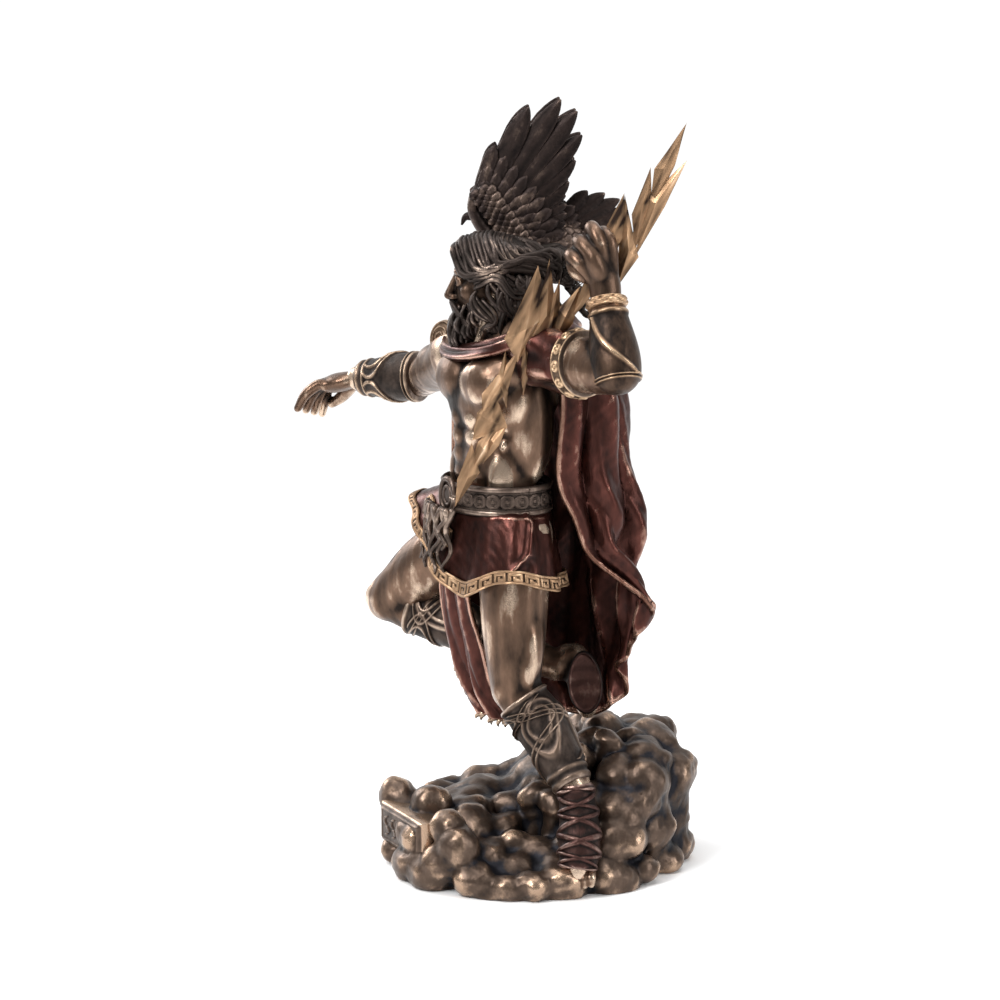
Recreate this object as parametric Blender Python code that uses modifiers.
# A cast statuette: a bearded god strides over a heap of cloud with one arm stretched out,
# a thunderbolt in the raised fist and an eagle at the shoulder. Metres, +Z up, the figure's
# chest faces -Y, and the origin is the middle of the underside.

import math

import bmesh
import bpy
import numpy as np
from mathutils import Matrix, Vector

# Driving sizes
HEIGHT = 0.300          # underside to the highest wing tip
BASE_WIDTH = 0.116      # cloud mound along X
BASE_DEPTH = 0.130      # cloud mound along Y
PLAQUE_WIDTH = 0.038
PLAQUE_HEIGHT = 0.016
PLAQUE_DEPTH = 0.010
PLAQUE_FOOT = 0.009     # floor to the plaque's lower edge
PLAQUE_EDGE = 0.0012    # rounding of the plaque's edges
FIT_GAP = 0.0003        # between two pieces that touch
CLOTH = 0.0026          # thickness of the cast cloth

# The figure, the eagle and the bolt keep their pose as shares of HEIGHT: one unit is a 300th
UNIT = HEIGHT / 300.0

# Ground directions: the head and the eagle look along GAZE, SIDE is to their left
TURN = math.radians(30.0)
GAZE = np.array([-math.sin(TURN), -math.cos(TURN), 0.0])
SIDE = np.array([math.cos(TURN), -math.sin(TURN), 0.0])
UP = np.array([0.0, 0.0, 1.0])

# The cloak and the left fist are laid out along RIGHT, TOWARD and UP
LAYOUT = math.radians(60.0)
RIGHT = np.array([math.cos(LAYOUT), math.sin(LAYOUT), 0.0])
TOWARD = np.array([math.sin(LAYOUT), -math.cos(LAYOUT), 0.0])

# Joints of the body
PELVIS = (-8, -14, 138)
CHEST = (-9, -15.5, 188)
NECK = (-7, -12, 210)
HEAD = (-10.5, -14.3, 236)
SHOULDER_L, ELBOW_L, WRIST_L = (20, -9, 206), (63, -4, 204), (52, -2, 230)
SHOULDER_R, ELBOW_R, WRIST_R, PALM_R = (-38, -14, 200), (-84, -6, 186), (-113, -21.5, 183), (-123, -28, 180)
HIP_L, KNEE_L, ANKLE_L, TOE_L = (6, -14, 134), (13, -18, 75), (41, -8, 40), (52, -13.5, 9)
HIP_R, KNEE_R, ANKLE_R = (-22, -14, 131), (-61, -34, 99), (-7, 13, 76)

# Laid out along RIGHT, TOWARD and UP: the fist and its fingers (start, knuckle, fold, tip), the lifted sole
# and the cloak in columns from the near edge to the far edge
FIST_L = (21.0, 43.5, 243.5)
FINGERS_L = [
    ((26.6, 45.2, 236.5), (25.4, 46.2, 251.0), (23.0, 42.0, 254.6), (21.6, 36.6, 252.0)),
    ((25.0, 46.4, 236.0), (21.3, 47.6, 251.8), (18.4, 42.6, 255.8), (18.4, 36.2, 252.6)),
    ((22.6, 46.6, 236.0), (17.4, 47.4, 248.6), (14.0, 42.4, 251.6), (16.2, 35.6, 248.4)),
    ((20.2, 45.8, 237.0), (14.2, 46.0, 244.2), (11.4, 41.4, 246.4), (14.6, 35.4, 243.6)),
]
SOLE_TOP, SOLE_END = (16.5, -3.0, 84.0), (18.7, 0.0, 56.0)
CLOAK_COLUMNS = [
    [(3, 20, 212), (9, 19, 190), (7.5, 17, 158), (14, 15, 141),
     (19.5, 13, 127), (36, 10, 116.5), (50, 5, 106)],
    [(8, 15, 214), (20, 14, 190), (22, 11, 160), (29, 10, 140),
     (29, 8, 126), (44, 4, 109), (46.5, 1, 96.5)],
    [(14, 8, 215), (31, 5, 190), (34, 1, 160), (42, -1, 140),
     (33, -4, 124), (40, -5, 107), (36, -5, 86)],
    [(10, -4, 215), (28, -12, 190), (30, -15, 160), (33, -18, 136),
     (31, -18, 118), (34, -14, 92), (33, -10, 66)],
    [(-2, -12, 214), (12, -26, 190), (14, -31, 160), (16, -35, 135),
     (17, -34, 110), (20, -26, 82), (22, -12, 57)],
    [(-22, -26, 211), (-14, -38, 188), (-12, -43, 152), (-10, -44, 125),
     (-8, -40, 95), (-4, -32, 72), (0, -22, 56)],
    [(-36, -24, 208), (-34, -34, 185), (-34, -40, 150), (-32, -42, 122),
     (-28, -38, 95), (-22, -32, 74), (-14, -26, 58)],
]

# Mesh fineness of the fused castings, and how many faces each keeps
FINENESS = 0.0030 * HEIGHT
FIGURE_FACES = 5950
EAGLE_FACES = 1520
CLOUD_FACES = 1650


def clear_scene():
    for item in list(bpy.data.objects):
        bpy.data.objects.remove(item, do_unlink=True)


def make_collection(name):
    group = bpy.data.collections.new(name)
    bpy.context.scene.collection.children.link(group)
    return group


def make_material(name, colour, roughness, metallic):
    material = bpy.data.materials.new(name)
    material.use_nodes = True
    shader = material.node_tree.nodes["Principled BSDF"]
    shader.inputs["Base Color"].default_value = (*colour, 1.0)
    shader.inputs["Roughness"].default_value = roughness
    shader.inputs["Metallic"].default_value = metallic
    return material


def point(values):
    """A place of the pose in metres."""
    return np.array(values, dtype=float) * UNIT


def local(origin, ahead, aside, above):
    """A place in the frame of a head or an eagle."""
    return np.array(origin, dtype=float) + ahead * GAZE + aside * SIDE + above * UP


def turned(right, toward, height):
    """A place in axes turned by LAYOUT, in which the cloak and the fist are laid out."""
    return right * RIGHT + toward * TOWARD + height * UP


def smooth_route(points, steps=4):
    """Catmull-Rom curve through the points, with steps samples for each span."""
    p = np.array(points, dtype=float)
    p = np.vstack([2 * p[0] - p[1], p, 2 * p[-1] - p[-2]])
    samples = []
    for i in range(1, len(p) - 2):
        for t in np.linspace(0, 1, steps, endpoint=False):
            a, b, c, d = p[i - 1], p[i], p[i + 1], p[i + 2]
            samples.append(0.5 * (2 * b + (c - a) * t + (2 * a - 5 * b + 4 * c - d) * t**2
                                  + (3 * b - a - 3 * c + d) * t**3))
    samples.append(p[-2])
    return np.array(samples)


def link_temporary(name, data):
    item = bpy.data.objects.new(name, data)
    bpy.context.scene.collection.objects.link(item)
    return item


def evaluated_mesh(item):
    depsgraph = bpy.context.evaluated_depsgraph_get()
    return bpy.data.meshes.new_from_object(item.evaluated_get(depsgraph))


def add_tubes(stock, routes):
    """Round tubes: each route is a list of (place, radius) in pose units."""
    curve = bpy.data.curves.new("routes", "CURVE")
    curve.dimensions = "3D"
    curve.bevel_depth = 1.0
    curve.bevel_resolution = 3
    curve.use_fill_caps = True
    for route in routes:
        values = smooth_route([(*np.array(place) * UNIT, radius * UNIT) for place, radius in route])
        spline = curve.splines.new("POLY")
        spline.points.add(len(values) - 1)
        for knot, value in zip(spline.points, values):
            knot.co = (value[0], value[1], value[2], 1.0)
            knot.radius = max(value[3], 0.2 * UNIT)
    item = link_temporary("routes", curve)
    mesh = evaluated_mesh(item)
    bpy.data.objects.remove(item, do_unlink=True)
    part = bmesh.new()
    part.from_mesh(mesh)
    bmesh.ops.remove_doubles(part, verts=part.verts, dist=0.00001)
    part.to_mesh(mesh)
    part.free()
    stock.from_mesh(mesh)
    bpy.data.meshes.remove(mesh)


def add_limb(stock, route):
    """A tube with round ends."""
    add_tubes(stock, [route])
    for place, radius in (route[0], route[-1]):
        add_ball(stock, place, (radius, radius, radius))


def add_ball(stock, place, radii, along=None):
    """An ellipsoid in pose units; along turns its first radius from X to that direction."""
    turn = Matrix.Identity(4)
    if along is not None:
        turn = Vector(along).to_track_quat("X", "Z").to_matrix().to_4x4()
    shape = Matrix.Diagonal((*(np.array(radii, dtype=float) * UNIT), 1.0))
    matrix = Matrix.Translation(Vector(point(place))) @ turn @ shape
    bmesh.ops.create_uvsphere(stock, u_segments=20, v_segments=12, radius=1.0, matrix=matrix)


def add_feather(stock, root, tip, width, normal, thick=1.3):
    """A flat rounded blade from root to tip, its face square to the normal."""
    root = np.array(root, dtype=float)
    tip = np.array(tip, dtype=float)
    length = np.linalg.norm(tip - root)
    forward = Vector(tip - root).normalized()
    across = Vector(normal).cross(forward).normalized()
    face = forward.cross(across)
    turn = Matrix((forward, across, face)).transposed().to_4x4()
    shape = Matrix.Diagonal((0.5 * length * UNIT, 0.5 * width * UNIT, thick * UNIT, 1.0))
    matrix = Matrix.Translation(Vector(point(0.5 * (root + tip)))) @ turn @ shape
    bmesh.ops.create_uvsphere(stock, u_segments=16, v_segments=12, radius=1.0, matrix=matrix)


def add_sheet(stock, grid, thickness):
    """A cast cloth: an open grid of places in metres, made solid by Solidify."""
    rows, columns = grid.shape[:2]
    index = np.arange(rows * columns).reshape(rows, columns)
    quads = np.stack([index[:-1, :-1], index[1:, :-1], index[1:, 1:], index[:-1, 1:]], axis=-1)
    mesh = bpy.data.meshes.new("sheet")
    mesh.from_pydata(grid.reshape(-1, 3).tolist(), [], quads.reshape(-1, 4).tolist())
    item = link_temporary("sheet", mesh)
    wall = item.modifiers.new("wall", "SOLIDIFY")
    wall.thickness = thickness
    wall.offset = 0.0
    solid = evaluated_mesh(item)
    stock.from_mesh(solid)
    bpy.data.objects.remove(item, do_unlink=True)
    bpy.data.meshes.remove(solid)


def add_loft(stock, rings):
    """A closed body from rings of equal length, with its two ends filled."""
    rings = np.array(rings)
    count, sides = rings.shape[:2]
    verts = [stock.verts.new(place) for place in rings.reshape(-1, 3)]
    for i in range(count - 1):
        for j in range(sides):
            k = (j + 1) % sides
            a, b = i * sides, (i + 1) * sides
            stock.faces.new((verts[a + j], verts[a + k], verts[b + k], verts[b + j]))
    stock.faces.new(verts[:sides][::-1])
    stock.faces.new(verts[-sides:])


def largest_shell(mesh):
    """Keep only the outer shell, so that no sealed hollow and no body that only touches a corner stays."""
    shape = bmesh.new()
    shape.from_mesh(mesh)
    left = set(shape.faces)
    shells = []
    while left:
        seed = left.pop()
        shell = {seed}
        front = [seed]
        while front:
            face = front.pop()
            for edge in face.edges:
                if len(edge.link_faces) != 2:
                    continue
                for other in edge.link_faces:
                    if other in left:
                        left.discard(other)
                        shell.add(other)
                        front.append(other)
        shells.append(shell)
    shells.sort(key=len, reverse=True)
    spare = [face for shell in shells[1:] for face in shell]
    bmesh.ops.delete(shape, geom=spare, context="FACES")
    shape.to_mesh(mesh)
    shape.free()


def fuse(stock, name, faces, fineness, smoothing):
    """Melt overlapping bodies into one casting with about this many faces."""
    mesh = bpy.data.meshes.new(name)
    stock.to_mesh(mesh)
    stock.free()
    item = link_temporary(name, mesh)
    melt = item.modifiers.new("melt", "REMESH")
    melt.mode = "VOXEL"
    melt.voxel_size = fineness
    ease = item.modifiers.new("ease", "SMOOTH")
    ease.factor = 0.5
    ease.iterations = smoothing
    melted = evaluated_mesh(item)
    largest_shell(melted)
    item.modifiers.clear()
    item.data = melted
    thin = item.modifiers.new("thin", "DECIMATE")
    thin.ratio = faces / (2.0 * len(melted.polygons))
    thin.use_collapse_triangulate = True
    final = evaluated_mesh(item)
    bpy.data.objects.remove(item, do_unlink=True)
    bpy.data.meshes.remove(melted)
    largest_shell(final)
    final.name = name
    return final


def finish(name, mesh, material, group):
    mesh.materials.clear()
    mesh.materials.append(material)
    item = bpy.data.objects.new(name, mesh)
    group.objects.link(item)
    mesh.shade_smooth()
    mesh.set_sharp_from_angle(angle=math.radians(40.0))
    return item


def swollen_copy(item, distance, group):
    """A cutter: the same shape with its skin moved out by the distance."""
    mesh = item.data.copy()
    normals = np.array([vert.normal[:] for vert in mesh.vertices])
    places = np.array([vert.co[:] for vert in mesh.vertices])
    mesh.vertices.foreach_set("co", (places + normals * distance).ravel())
    mesh.update()
    cutter = bpy.data.objects.new(item.name + "_cutter", mesh)
    group.objects.link(cutter)
    cutter.hide_render = True
    cutter.display_type = "WIRE"
    return cutter


def carve(item, cutter):
    """Cut the cutter out of the item and keep its largest body."""
    cut = item.modifiers.new("carve", "BOOLEAN")
    cut.operation = "DIFFERENCE"
    cut.object = cutter
    mesh = evaluated_mesh(item)
    item.modifiers.remove(cut)
    largest_shell(mesh)
    old = item.data
    item.data = mesh
    bpy.data.meshes.remove(old)


# The body

def add_torso(stock):
    add_ball(stock, CHEST, (26, 16, 21))
    add_ball(stock, (-9, -15.5, 166), (20.5, 14.2, 24))
    add_ball(stock, PELVIS, (22, 16, 17))
    for side in (-1, 1):
        add_ball(stock, (-9 + 12 * side, -27.5, 194.5), (12.5, 6.6, 9.5))
        add_ball(stock, (-9 + 18.5 * side, -9, 181), (8, 11, 22))
        add_ball(stock, (-9 + 12 * side, 1, 190), (10, 6, 16))
        for row in range(4):
            add_ball(stock, (-9 + 4.8 * side, -29.3 + 0.2 * row, 180.5 - 7.4 * row), (4.8, 3.0, 4.0))
    add_limb(stock, [(SHOULDER_R, 10), ((-20, -11, 208), 9), (NECK, 10)])
    add_limb(stock, [(NECK, 10), ((8, -10, 210), 9), (SHOULDER_L, 10)])
    add_limb(stock, [(NECK, 10.5), (local(HEAD, -2, 0, -8), 9)])


def add_fist(stock):
    """The left fist: its back is turned outward and four fingers curl behind the bolt."""
    palm = turned(*FIST_L)
    add_ball(stock, palm, (10.0, 8.2, 4.8), turned(-0.45, 0.0, 1.0))
    add_limb(stock, [(WRIST_L, 6.0), (palm, 5.4)])
    for finger in FINGERS_L:
        add_limb(stock, [(turned(*place), radius) for place, radius in zip(finger, (1.8, 2.6, 2.5, 2.1))])
    thumb = [(17, 41, 239), (13.0, 40.0, 241.5), (12.6, 38.0, 247.0), (16.5, 35.5, 251.0)]
    add_limb(stock, [(turned(*place), radius) for place, radius in zip(thumb, (3.0, 2.8, 2.5, 2.1))])


def add_arms(stock):
    upper = np.array(SHOULDER_L) * 0.5 + np.array(ELBOW_L) * 0.5
    add_limb(stock, [(SHOULDER_L, 13.6), (upper, 12.2), (ELBOW_L, 9.6)])
    fore = np.array(ELBOW_L) * 0.6 + np.array(WRIST_L) * 0.4
    add_limb(stock, [(ELBOW_L, 9.8), (fore, 9.8), (WRIST_L, 6.2)])
    add_ball(stock, SHOULDER_L, (14.2, 13.6, 14))
    add_fist(stock)
    upper = np.array(SHOULDER_R) * 0.5 + np.array(ELBOW_R) * 0.5
    add_limb(stock, [(SHOULDER_R, 12.5), (upper, 10.5), (ELBOW_R, 9.0)])
    fore = np.array(ELBOW_R) * 0.6 + np.array(WRIST_R) * 0.4
    add_limb(stock, [(ELBOW_R, 9.0), (fore, 9.8), (WRIST_R, 5.8)])
    add_ball(stock, SHOULDER_R, (14, 13, 12.5))
    # Open hand: palm, four drooping fingers and the thumb below
    reach = np.array(PALM_R, dtype=float) - np.array(WRIST_R)
    reach /= np.linalg.norm(reach)
    spread = np.cross(reach, UP)
    spread /= np.linalg.norm(spread)
    add_ball(stock, np.array(PALM_R) - 2 * reach, (9, 7, 4), reach)
    for finger in range(4):
        start = np.array(PALM_R) + 2 * reach + (finger - 1.5) * 3.4 * spread
        middle = start + (8.6 - 0.4 * finger) * reach + (finger - 1.5) * 1.2 * spread - (1.6 + finger) * UP
        end = middle + (3.8 - 0.5 * finger) * reach + (-5.0 - 0.6 * finger) * UP
        add_limb(stock, [(start, 2.5), (middle, 2.2), (end, 1.6)])
    thumb = np.array(PALM_R) - 4 * reach + 5 * spread - 2 * UP
    joint = thumb + 7 * reach + spread - 5 * UP
    add_limb(stock, [(thumb, 2.8), (joint, 2.4), (thumb + 12 * reach - 7 * UP, 1.8)])


def add_legs(stock):
    add_limb(stock, [(HIP_L, 15), ((9, -16.5, 105), 14.2), (KNEE_L, 10.2)])
    add_ball(stock, np.array(KNEE_L) + (1, -4, 0), (8, 7, 9))
    add_limb(stock, [(KNEE_L, 9.8), ((23, -12, 61), 10.4), (ANKLE_L, 7.0)])
    add_limb(stock, [(ANKLE_L, 7.2), ((44, -8, 30), 7.8), ((49.5, -11, 18), 8.0), (TOE_L, 5.6)])
    add_limb(stock, [(HIP_R, 16), ((-44, -25, 115), 14), (KNEE_R, 11)])
    add_ball(stock, np.array(KNEE_R) + (-3, -3, 0), (8, 8, 9))
    add_limb(stock, [(KNEE_R, 10), ((-38, -15, 89), 10.5), (ANKLE_R, 6.8)])
    add_limb(stock, [(ANKLE_R, 7.0), ((0, 17, 78), 7.4), ((5, 17, 66), 6.8), ((9, 17.5, 58), 5.4)])
    # The lifted sole is a flat oval behind the foot
    add_feather(stock, turned(*SOLE_TOP), turned(*SOLE_END), 14, TOWARD, thick=2.2)
    add_feather(stock, turned(*SOLE_TOP) + 2 * UP, turned(*SOLE_END) - 2 * UP, 12.5, TOWARD, thick=2.0)


def add_guards(stock):
    """Bands, guards and the belt that stand proud of the limbs."""
    def band(start, end, share, radius, width):
        start = np.array(start, dtype=float)
        end = np.array(end, dtype=float)
        axis = (end - start) / np.linalg.norm(end - start)
        centre = start + share * (end - start)
        add_tubes(stock, [[(centre - 0.5 * width * axis, radius), (centre + 0.5 * width * axis, radius)]])
    band(ELBOW_R, WRIST_R, 0.12, 10.8, 3.5)
    band(ELBOW_R, WRIST_R, 0.90, 8.0, 3.5)
    band(ELBOW_L, WRIST_L, 0.02, 11.4, 3.5)
    band(ELBOW_L, WRIST_L, 0.92, 8.2, 4.5)
    band(SHOULDER_L, ELBOW_L, 0.50, 14.0, 7.0)
    band(KNEE_L, ANKLE_L, 0.16, 11.6, 3.5)
    band(KNEE_L, ANKLE_L, 0.92, 8.6, 3.0)
    band(KNEE_R, ANKLE_R, 0.20, 11.8, 3.5)
    belt = [(-8 + 23 * math.cos(a), -14.6 + 18 * math.sin(a)) for a in np.linspace(0, 2 * math.pi, 33)]
    for height in (146.4, 149.4, 152.4):
        add_tubes(stock, [[((x, y, height), 2.5) for x, y in belt]])


# Head, hair and beard

def add_head(stock):
    add_ball(stock, local(HEAD, -0.5, 0, 2.5), (13.0, 10.8, 13.5), GAZE)
    add_ball(stock, local(HEAD, 5.5, 0, -4), (8.8, 8.2, 11), GAZE)
    add_tubes(stock, [[(local(HEAD, 12.5, 0, 3.5), 1.6), (local(HEAD, 15.8, 0, -2.5), 2.2),
                       (local(HEAD, 13.0, 0, -4), 1.6)]])
    add_tubes(stock, [[(local(HEAD, 10.0, -6.5, 3), 1.8), (local(HEAD, 12.6, 0, 4), 1.8),
                       (local(HEAD, 10.0, 6.5, 3), 1.8)]])


def hair_lock(row, turn, height):
    """One lock swept back over the skull; turn is its angle from the parting."""
    lock = []
    for step in np.linspace(0, 1, 9):
        ahead = 10.5 - 43 * step + 2 * (row % 2)
        above = height * math.sqrt(max(0.0, 1 - (0.9 * step - 0.25) ** 2)) - 13 * step**2 * (height / 16)
        wave = 1.5 * math.sin(9 * step + turn)
        aside = 11.5 * math.sin(turn) * (1 - 0.25 * step) + 0.9 * math.sin(11 * step + row)
        lock.append((local(HEAD, ahead, aside, above + wave + 2.0), 2.2 - 0.7 * step))
    return lock


def add_hair(stock):
    locks = []
    for row in range(9):
        turn = math.radians(-84 + 21 * row)
        locks.append(hair_lock(row, turn, 2 + 11 * math.cos(turn)))
    for row in range(5):
        aside = -9 + 4.5 * row
        locks.append([(local(HEAD, -9 - 2 * abs(aside) * 0.2, aside, 4), 4.0),
                      (local(HEAD, -13, 1.1 * aside, -6), 4.0),
                      (local(HEAD, -16 - 1.5 * (row % 2), 1.2 * aside, -15), 3.2),
                      (local(HEAD, -21 + 2 * (row % 2), 1.2 * aside, -21), 2.0)])
    for side in (-1, 1):
        locks.append([(local(HEAD, 7, 9.5 * side, -8), 2.2), (local(HEAD, -2, 12 * side, -4.5), 2.3),
                      (local(HEAD, -9, 12.5 * side, -9.5), 2.2), (local(HEAD, -19, 12 * side, -9), 1.5)])
    add_tubes(stock, locks)
    add_ball(stock, local(HEAD, -14, 0, 1), (15, 9, 8.5), GAZE)


def add_beard(stock):
    add_ball(stock, local(HEAD, 7, 0, -17), (9.5, 8.5, 10.5), GAZE)
    curls = []
    for row in range(9):
        turn = math.radians(-80 + 20 * row)
        for layer in range(2):
            ahead = 2.5 + 9.5 * math.cos(turn) - 1.5 * layer
            aside = 9.0 * math.sin(turn)
            fall = 20 + 3.5 * math.cos(turn) - 5 * layer
            sway = 1.6 * math.sin(3.0 * row + layer)
            curls.append([(local(HEAD, ahead + 1, 0.85 * aside, -8 - 1.5 * layer), 2.0),
                          (local(HEAD, ahead + 2.2 + sway, aside, -8 - 0.4 * fall), 2.3),
                          (local(HEAD, ahead + 0.5 - sway, aside + sway, -8 - 0.75 * fall), 2.1),
                          (local(HEAD, ahead + 1.5 + sway, 0.9 * aside, -8 - fall), 1.2)])
    add_tubes(stock, curls)


# Cloth

def down(points, share):
    """Read a smooth column of places at the shares."""
    column = smooth_route(points, steps=8)
    at = np.linspace(0, 1, len(column))
    return np.stack([np.interp(share, at, column[:, axis]) for axis in range(3)], axis=-1)


def grid_through(columns, rows, across):
    """A smooth surface through columns of places, read at rows by across points."""
    steps = rows // (len(columns[0]) - 1)
    long = [smooth_route([turned(*place) for place in column], steps=steps) for column in columns]
    wide = [smooth_route([column[row] for column in long], steps=across // (len(columns) - 1))
            for row in range(len(long[0]))]
    return np.array(wide)


def cloak_grid():
    """The cloak falls from both shoulders and billows out behind the legs."""
    sheet = grid_through(CLOAK_COLUMNS, 48, 66)
    rows, across = sheet.shape[:2]
    v, u = np.meshgrid(np.linspace(0, 1, rows), np.linspace(0, 1, across), indexing="ij")
    normal = np.cross(np.gradient(sheet, axis=0), np.gradient(sheet, axis=1))
    normal /= np.linalg.norm(normal, axis=-1, keepdims=True)
    fold = np.sin(2 * math.pi * 5.5 * (u + 0.22 * v) + 0.9 * np.sin(4 * v) + 0.4)
    small = 0.35 * np.sin(2 * math.pi * (11 * u - 1.4 * v) + 2 * np.sin(5 * v))
    inside = np.clip(np.minimum(u, 1 - u) / 0.10, 0, 1)
    swell = 0.7 + 1.9 * np.sin(math.pi * np.clip(v, 0, 0.85)) ** 0.7
    return (sheet - normal * (swell * (fold + small) * inside)[..., None]) * UNIT


def panel_grid():
    """The long apron that hangs between the legs."""
    v, u = np.meshgrid(np.linspace(0, 1, 33), np.linspace(0, 1, 25), indexing="ij")
    left = down([(-22, -30, 146), (-27, -30, 112), (-28, -26, 88), (-25, -21, 70), (-19, -15, 58)], v)
    right = down([(-1, -30, 146), (-2, -31, 112), (-5, -24, 88), (-6, -19, 70), (-3, -13, 57)], v)
    sheet = left * (1 - u[..., None]) + right * u[..., None]
    sheet[..., 1] += (0.4 + 2.0 * v) * np.sin(2 * math.pi * 2.0 * u + 3 * v)
    return sheet * UNIT


def kilt_rings():
    """The kilt flares from the belt to the hem, rises over the lifted thigh and lies on the other one."""
    rings = []
    turns = np.linspace(0, 2 * math.pi, 72, endpoint=False)
    lifted = np.clip(np.cos(turns - math.radians(206)), 0, 1) ** 2
    lying = np.clip(np.cos(turns + math.radians(12)), 0, 1) ** 2
    front = np.clip(np.cos(turns - math.radians(285)), 0, 1) ** 6
    for share in np.linspace(0, 1, 14):
        x = (22.5 + 5.5 * share) * np.cos(turns) - 13 * share * lifted + (2.8 + 5.4 * share) * lying
        y = (17.5 + 6.0 * share) * np.sin(turns) - 5 * share * lifted - (0.8 + 2.0 * share) * lying
        height = 152 - share * (38 - 20 * lifted + 6 * front)
        pleat = 1 + 0.055 * share * np.sin(13 * turns + 2.5 * share) * (1 - 0.6 * lying)
        rings.append(np.stack([-8 + x * pleat, -14 + y * pleat, height], axis=-1) * UNIT)
    return rings


def add_cloth(stock):
    add_sheet(stock, cloak_grid(), CLOTH)
    add_sheet(stock, panel_grid(), CLOTH)
    add_loft(stock, kilt_rings())
    hem = kilt_rings()[-1][::2] / UNIT
    add_tubes(stock, [[(place, 1.7) for place in np.vstack([hem, hem[:1]])],
                      [(place + 4.6 * UP, 1.7) for place in np.vstack([hem, hem[:1]])]])
    # Rolled collar from the clasp round the neck to the left shoulder
    collar = [(-41, -18, 207), (-27, -25.5, 204), (-10, -27.5, 204.5), (7, -23.5, 208), (20, -14, 214),
              (17, 1, 216), (-4, 5, 216), (-26, 2, 214), (-41, -8, 210)]
    girths = (3.0, 3.2, 3.6, 4.0, 4.6, 4.8, 4.6, 4.4, 4.0)
    add_tubes(stock, [[(place, girth) for place, girth in zip(collar, girths)]])
    add_ball(stock, (-40, -20, 207), (6.5, 5, 7))
    edge = cloak_grid()[:, 0] / UNIT
    add_tubes(stock, [[(place, 1.8) for place in edge[::4]]])


def figure_mesh():
    stock = bmesh.new()
    add_torso(stock)
    add_arms(stock)
    add_legs(stock)
    add_guards(stock)
    add_head(stock)
    add_hair(stock)
    add_beard(stock)
    add_cloth(stock)
    return fuse(stock, "zeus_figure", FIGURE_FACES, FINENESS, 1)


# The eagle

EAGLE = (-29, 18, 245)
# Along the eagle and above it: tail feather tips, then the beak and a leg with their radii
TAIL_TIPS = [(-18.5, 20.5), (-25.5, 19.5), (-31.5, 17.0), (-34.5, 12.5), (-34.0, 7.5), (-31.5, 3.0),
             (-26.5, -1.0)]
BEAK = [(26, 10.5, 2.6), (30.5, 9.6, 1.7), (32, 6.5, 0.6)]
SHANK = [(2, -5, 4.6), (0, -16, 3.4), (2, -32, 2.6)]


def add_wing(stock, side):
    """A raised wing: shoulder, wrist, primaries, secondaries and three rows of coverts."""
    def place(ahead, above, lean):
        return local(EAGLE, ahead, side * (7.5 + lean * 0.14 * above), above)
    normal = SIDE + 0.14 * side * UP
    shoulder = place(2, -2, 1)
    elbow = place(18, 2, 1)
    wrist = place(27, 16, 1)
    add_limb(stock, [(shoulder, 6), (elbow, 5), (wrist, 3.6), (place(20, 30, 1), 2.2)])
    tips = [(5, 54), (-7.5, 57), (-14, 52), (-16, 43), (-13.5, 33), (-11, 24.5)]
    for number, (ahead, above) in enumerate(tips):
        root = (23 - 1.6 * number, 15 - 1.5 * number)
        add_feather(stock, place(*root, 1), place(ahead, above, 1), 8.2, normal)
    for number in range(6):
        root = (20 - 4 * number, 8 - 2.0 * number)
        tip = (-9.5, 16 - 5.2 * number)
        add_feather(stock, place(*root, 1), place(*tip, 1), 7.0, normal)
    for row in range(2):
        for number in range(7):
            along = number / 6.0
            root = np.array([25.0, 17.0]) * (1 - along) + np.array([6.0, -3.0]) * along
            fan = math.radians(68 - 62 * along)
            length = 20.0 - 7 * row
            tip = root + length * np.array([-math.cos(fan), math.sin(fan)])
            add_feather(stock, place(*root, 1) + side * (0.9 + row) * 0.9 * SIDE,
                        place(*tip, 1) + side * (0.9 + row) * 0.7 * SIDE, 7.0, normal)
    for ahead, above in ((17.0, 36.0), (20.5, 30.0), (23.5, 25.5)):
        add_feather(stock, place(25, 15, 1), place(ahead, above, 1), 5.0, normal)


def eagle_mesh():
    stock = bmesh.new()
    add_ball(stock, EAGLE, (19, 8.5, 9.0), GAZE * 0.96 + UP * 0.25)
    add_ball(stock, local(EAGLE, 16, 0, 6), (8, 5.5, 5.5), GAZE * 0.8 + UP * 0.6)
    add_ball(stock, local(EAGLE, 23, 0, 10), (5.6, 4.4, 4.6), GAZE)
    add_tubes(stock, [[(local(EAGLE, ahead, 0, above), radius) for ahead, above, radius in BEAK]])
    for side in (-1, 1):
        add_wing(stock, side)
        add_limb(stock, [(local(EAGLE, ahead, 5 * side, above), radius) for ahead, above, radius in SHANK])
    for number, (ahead, above) in enumerate(TAIL_TIPS):
        root = local(EAGLE, -4.0, 1.2 - 0.35 * number, 5.0 - 0.6 * number)
        add_feather(stock, root, local(EAGLE, ahead, 2.4 - 0.6 * number, above), 6.8, SIDE)
    return fuse(stock, "eagle", EAGLE_FACES, 0.8 * FINENESS, 1)


# The thunderbolt

BOLT_FOOT = (4.5, -40.3, 147.5)
BOLT_ALONG = np.array([0.369, 0.362, 0.856])
BOLT_ACROSS = np.array([0.432, 0.749, -0.503])

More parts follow.
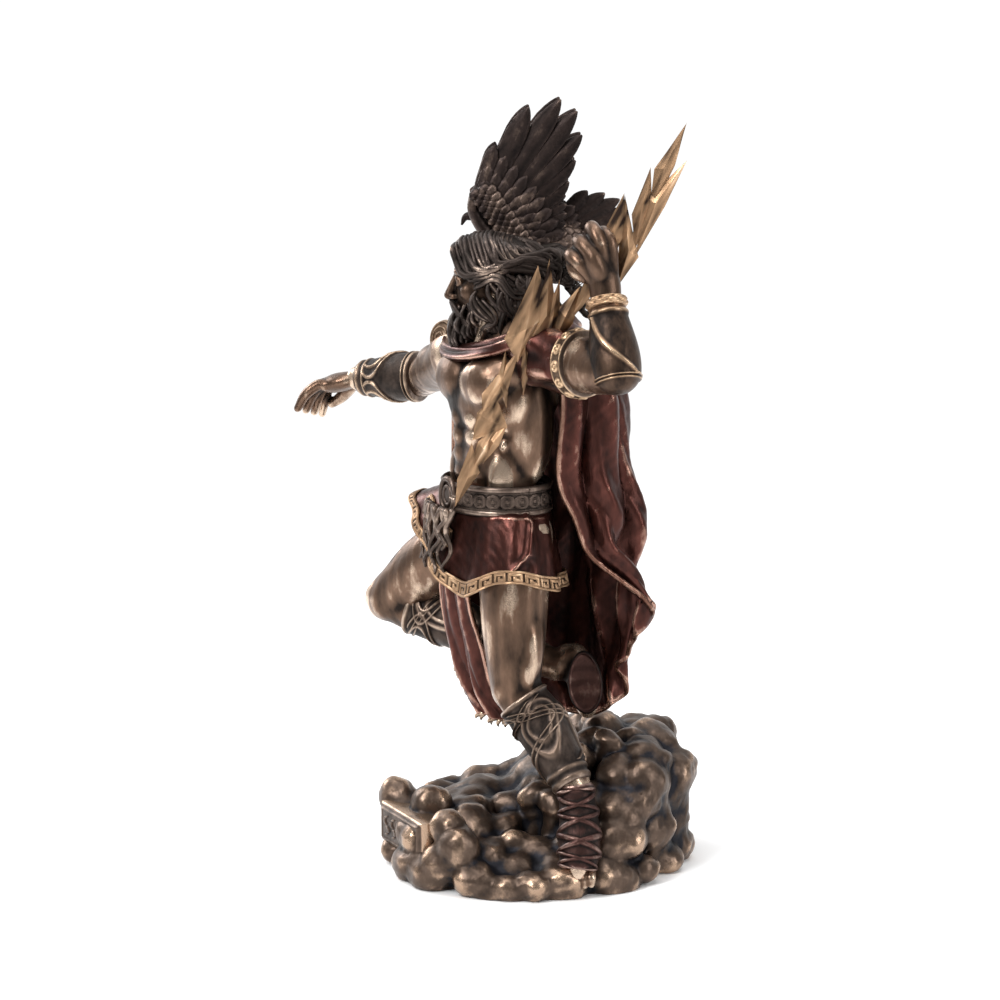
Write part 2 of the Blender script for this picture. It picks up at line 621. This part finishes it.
# Each shard: its two ends, its two side corners and half its thickness, along and across the bolt
SHARDS = [
    ((173, 0), (134, 6.5), (152, -1.5), (157, 4.5), 2.6),
    ((161, 7.3), (119, 9.5), (141, 1.8), (142, 9.2), 2.2),
    ((152, -3), (121, 8.5), (133, 0.0), (141, 4.2), 2.4),
    ((138.5, -6.4), (112, -1.0), (119.5, -5.6), (124, 2.6), 2.2),
    ((138.5, -6.2), (106, 9.6), (121, 1.6), (120.5, 10.6), 2.4),
    ((124, 1.5), (84, 0.5), (108, -3.2), (104, 4.0), 3.0),
    ((100, -2.5), (72, 0.2), (88, -5.5), (86, 2.5), 2.4),
    ((98, -10.5), (75, -1.5), (84, -8.5), (86, -3.0), 2.4),
    ((103, -17.8), (66, -8.5), (84, -12.5), (84, -3.0), 2.6),
    ((98.6, -20.2), (62, -8.0), (67.5, -17.0), (84, -6.6), 3.0),
    ((74, -12), (51, 0.6), (62, -6.5), (63, -2.2), 2.4),
    ((64, -14.3), (44, -2.5), (52, -11.5), (50, -5.0), 2.4),
    ((68, -10), (36, -8.8), (44.5, -13.6), (50, -5.5), 2.6),
    ((47, -9), (26.5, -7.5), (37, -11.5), (38, 1.6), 2.6),
    ((39, 1.0), (20.5, 0.6), (31, -3.0), (30, 2.4), 2.2),
    ((26, -7.4), (0, 0), (10, -4.8), (17, 1.4), 2.4),
    ((38, -2.5), (14, -2.0), (27, -5.5), (25, 1.5), 2.2),
]


def bolt_place(along, across, out):
    outward = np.cross(BOLT_ALONG, BOLT_ACROSS)
    return point(BOLT_FOOT + along * BOLT_ALONG + across * BOLT_ACROSS + out * outward)


def shard(number, swell=0.0):
    """A kite-shaped blade with a ridge on both faces; swell moves its skin outwards."""
    end_a, end_b, left, right, thick = SHARDS[number]
    ends = [np.array(value, dtype=float) for value in (end_a, end_b, left, right)]
    centre = sum(ends) / 4
    grown = [value + swell * (value - centre) / np.linalg.norm(value - centre) * 2.0 for value in ends]
    ridge = 0.5 * (grown[2] + grown[3])
    shift = 0.12 * (number % 3 - 1)
    corners = [bolt_place(*grown[0], shift), bolt_place(*grown[2], shift), bolt_place(*grown[1], shift),
               bolt_place(*grown[3], shift)]
    front = bolt_place(*ridge, shift + thick + swell)
    back = bolt_place(*ridge, shift - thick - swell)
    mesh = bpy.data.meshes.new("shard")
    faces = []
    for i in range(4):
        k = (i + 1) % 4
        faces.append((i, k, 4))
        faces.append((k, i, 5))
    mesh.from_pydata([*corners, front, back], [], faces)
    return outward_faces(mesh)


def outward_faces(mesh):
    shape = bmesh.new()
    shape.from_mesh(mesh)
    bmesh.ops.recalc_face_normals(shape, faces=shape.faces)
    shape.to_mesh(mesh)
    shape.free()
    return mesh


def bolt_mesh(swell):
    """The shards joined one after another into one jagged bolt."""
    whole = link_temporary("bolt", shard(0, swell))
    for number in range(1, len(SHARDS)):
        other = link_temporary("shard", shard(number, swell))
        join = whole.modifiers.new("join", "BOOLEAN")
        join.operation = "UNION"
        join.object = other
        mesh = evaluated_mesh(whole)
        whole.modifiers.clear()
        whole.data = mesh
        bpy.data.objects.remove(other, do_unlink=True)
    bpy.data.objects.remove(whole, do_unlink=True)
    largest_shell(mesh)
    return mesh


# The cloud

def cloud_height(x, y):
    """Top of the heap in pose units: low under the striding foot, high at the back."""
    behind = -(x * GAZE[0] + y * GAZE[1])
    beside = x * SIDE[0] + y * SIDE[1]
    climb = 27 + 29 / (1 + math.exp(-(behind - 6) / 8.0))
    slope = 1 / (1 + math.exp((beside - 30) / 5.5))
    return 9 + (climb - 9) * slope


def add_lump(stock, centre, radii, lean):
    """An ellipsoid in metres with its first radius turned to the lean."""
    turn = Vector(lean).to_track_quat("X", "Z").to_matrix().to_4x4()
    matrix = Matrix.Translation(Vector(centre)) @ turn @ Matrix.Diagonal((*radii, 1.0))
    bmesh.ops.create_uvsphere(stock, u_segments=16, v_segments=10, radius=1.0, matrix=matrix)


def add_cloud_lumps(stock):
    count = 62
    for number in range(count):
        share = math.sqrt((number + 0.5) / count)
        turn = number * math.pi * (3 - math.sqrt(5))
        size = (8.2 + 2.7 * math.sin(2.3 * number) + 1.2 * math.sin(0.7 * number)) * 0.001
        x = (0.5 * BASE_WIDTH - size - 0.0025) * share * math.cos(turn)
        y = (0.5 * BASE_DEPTH - size - 0.0025) * share * math.sin(turn)
        top = cloud_height(x / UNIT, y / UNIT) * UNIT * (1 - 0.16 * share**4)
        top += 0.0028 * math.sin(1.7 * number)
        top = max(top, 1.2 * size)
        lean = (math.sin(1.9 * number), math.cos(1.3 * number), 0.3)
        add_lump(stock, (x, y, top - size), (1.4 * size, 1.1 * size, size), lean)
        depth = top - size + 0.006
        stem = Matrix.Translation((x, y, 0.5 * depth - 0.006))
        bmesh.ops.create_cone(stock, cap_ends=True, segments=16, radius1=0.85 * size, radius2=0.95 * size,
                              depth=depth, matrix=stem)
    for tier in range(5):
        lumps = 17 - 2 * tier
        for number in range(lumps):
            turn = 2 * math.pi * (number + 0.5 * (tier % 2) + 0.22 * math.sin(3.3 * number)) / lumps
            size = 0.0092 + 0.0026 * math.sin(5.1 * number + 2 * tier)
            inset = size + 0.0012 * tier
            x = (0.5 * BASE_WIDTH - inset) * math.cos(turn)
            y = (0.5 * BASE_DEPTH - inset) * math.sin(turn)
            z = 0.0050 + 0.0115 * tier + 0.0018 * math.sin(2.9 * number)
            if z < cloud_height(x / UNIT, y / UNIT) * UNIT - 0.4 * size:
                lean = (math.cos(turn + 1.2), math.sin(turn + 1.2), 0.2 * math.sin(number))
                add_lump(stock, (x, y, z), (1.15 * size, size, 0.85 * size), lean)


def add_plaque(stock):
    """A rounded tablet on the front, turned a little to the right arm's side."""
    mesh = bpy.data.meshes.new("plaque")
    shape = bmesh.new()
    size = Matrix.Diagonal((PLAQUE_WIDTH, PLAQUE_DEPTH, PLAQUE_HEIGHT, 1))
    bmesh.ops.create_cube(shape, size=1.0, matrix=size)
    bmesh.ops.bevel(shape, geom=shape.edges[:], offset=PLAQUE_EDGE, segments=2, affect="EDGES")
    place = Matrix.Translation((-0.066 * BASE_WIDTH, 0.4 * PLAQUE_DEPTH - 0.445 * BASE_DEPTH,
                                PLAQUE_FOOT + 0.5 * PLAQUE_HEIGHT))
    slant = Matrix.Rotation(math.radians(-4.0), 4, "Z")
    bmesh.ops.transform(shape, matrix=place @ slant, verts=shape.verts)
    shape.to_mesh(mesh)
    shape.free()
    stock.from_mesh(mesh)
    bpy.data.meshes.remove(mesh)


def flat_underside(mesh):
    """Cut the heap off level with the floor and close it with one flat face."""
    shape = bmesh.new()
    shape.from_mesh(mesh)
    cut = bmesh.ops.bisect_plane(shape, geom=[*shape.verts, *shape.edges, *shape.faces], dist=0.00001,
                                 plane_co=(0, 0, 0), plane_no=(0, 0, -1), clear_outer=True)
    rim = [item for item in cut["geom_cut"] if isinstance(item, bmesh.types.BMEdge)]
    bmesh.ops.triangulate(shape, faces=shape.faces)
    bmesh.ops.edgenet_fill(shape, edges=rim)
    bmesh.ops.recalc_face_normals(shape, faces=shape.faces)
    shape.to_mesh(mesh)
    shape.free()


def cloud_mesh():
    stock = bmesh.new()
    add_cloud_lumps(stock)
    add_plaque(stock)
    mesh = fuse(stock, "cloud_base", CLOUD_FACES, 1.4 * FINENESS, 2)
    flat_underside(mesh)
    return mesh


def main():
    clear_scene()
    group = make_collection("zeus_statue")
    cutters = make_collection("cutters")
    bronze = make_material("aged_bronze", (0.13, 0.085, 0.055), 0.36, 0.85)
    dark = make_material("dark_bronze", (0.045, 0.03, 0.024), 0.45, 0.8)
    gold = make_material("gold_bronze", (0.42, 0.27, 0.13), 0.38, 0.9)
    cloud = make_material("cloud_bronze", (0.12, 0.085, 0.065), 0.42, 0.8)

    bolt = finish("thunderbolt", bolt_mesh(0.0), gold, group)
    bolt_cutter = finish("bolt_cutter", bolt_mesh(FIT_GAP / UNIT * 1.2), gold, cutters)
    bolt_cutter.hide_render = True
    bolt_cutter.display_type = "WIRE"

    figure = finish("zeus_figure", figure_mesh(), bronze, group)
    carve(figure, bolt_cutter)
    figure_cutter = swollen_copy(figure, FIT_GAP, cutters)

    eagle = finish("eagle", eagle_mesh(), dark, group)
    carve(eagle, figure_cutter)
    base = finish("cloud_base", cloud_mesh(), cloud, group)
    carve(base, figure_cutter)
    for item in (figure, bolt, eagle, base):
        print(item.name, len(item.data.polygons), "faces")


main()
